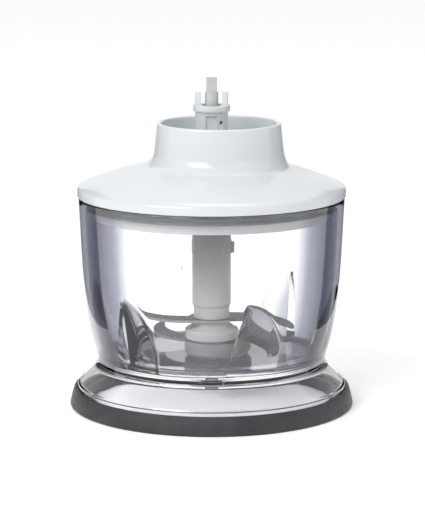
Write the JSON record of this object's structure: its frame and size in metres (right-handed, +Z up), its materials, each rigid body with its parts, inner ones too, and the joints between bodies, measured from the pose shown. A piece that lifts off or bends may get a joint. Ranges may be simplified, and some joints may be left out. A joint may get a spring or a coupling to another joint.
{
  "type": "food chopper attachment",
  "caption": "Food chopper attachment: clear bowl on a rubber ring, lift-off two-blade knife, and a white geared lid with a coupling collar for a motor part.",
  "frame": {"origin": "centre of the rubber ring's underside, on the drive axis", "axes": "+Z up along the drive axis, +X to the side that the neck is offset to, -Y towards the front"},
  "size_m": [0.128, 0.128, 0.1475],
  "materials": {
    "ring_rubber": "satin moulded rubber",
    "clear_bowl": "clear polished plastic",
    "pin_steel": "ground steel",
    "bearing_plastic": "acetal, satin",
    "sleeve_plastic": "frosted off-white plastic",
    "hub_plastic": "frosted grey-white plastic",
    "blade_steel": "ground stainless steel",
    "bush_bronze": "sintered bronze",
    "lid_white": "glossy white moulded plastic",
    "lid_base_white": "satin white moulded plastic",
    "seal_silicone": "milky silicone",
    "collar_white": "glossy white moulded plastic",
    "zinc_steel": "zinc plated steel",
    "spring_steel": "blued spring steel",
    "gear_acetal": "natural acetal",
    "spindle_plastic": "light grey plastic"
  },
  "bodies": {
    "base": {"anti_slip_ring": "ring_rubber"},
    "bowl": {"bowl": "clear_bowl", "knife_pin": "pin_steel", "thrust_washer": "bearing_plastic"},
    "knife": {"knife_sleeve": "sleeve_plastic", "upper_blade": "blade_steel", "blade_spacer": "sleeve_plastic", "lower_blade": "blade_steel", "knife_hub": "hub_plastic", "hub_bush": "bush_bronze", "sleeve_bush": "bush_bronze"},
    "lid": {"lid_shell": "lid_white", "lid_base": "lid_base_white", "lid_seal": "seal_silicone", "coupling_collar": "collar_white", "collar_screws": "zinc_steel", "collar_bush": "bush_bronze", "gear_plate": "lid_base_white", "cover_screws": "zinc_steel", "input_bush": "bush_bronze", "output_bush": "bush_bronze", "layshaft_pin": "pin_steel", "layshaft_washers": "zinc_steel"},
    "spindle": {"drive_spindle": "spindle_plastic", "input_pinion": "gear_acetal", "spindle_circlip": "spring_steel"},
    "layshaft": {"layshaft_wheel": "gear_acetal", "layshaft_pinion": "gear_acetal"},
    "output": {"output_gear": "gear_acetal", "output_coupling": "bearing_plastic", "output_circlip": "spring_steel"}
  },
  "joints": [
    {"name": "bowl_lift", "type": "slide", "parent": "base", "child": "bowl", "axis": [0, 0, 1], "range_m": [0, 0.03]},
    {"name": "lid_lift", "type": "slide", "parent": "bowl", "child": "lid", "axis": [0, 0, 1], "range_m": [0, 0.06]},
    {"name": "knife_spin", "type": "hinge", "parent": "bowl", "child": "knife", "pos_m": [0, 0, 0.04], "axis": [0, 0, 1], "continuous": true},
    {"name": "output_spin", "type": "hinge", "parent": "lid", "child": "output", "pos_m": [0, 0, 0.095], "axis": [0, 0, 1], "continuous": true},
    {"name": "layshaft_spin", "type": "hinge", "parent": "lid", "child": "layshaft", "pos_m": [0.018, 0, 0.098], "axis": [0, 0, 1], "continuous": true},
    {"name": "spindle_spin", "type": "hinge", "parent": "lid", "child": "spindle", "pos_m": [0, 0, 0.12], "axis": [0, 0, 1], "continuous": true}
  ],
  "couplings": [
    {"joint": "output_spin", "follows": "knife_spin", "ratio": 1},
    {"joint": "layshaft_spin", "follows": "knife_spin", "ratio": -2},
    {"joint": "spindle_spin", "follows": "knife_spin", "ratio": 4}
  ]
}
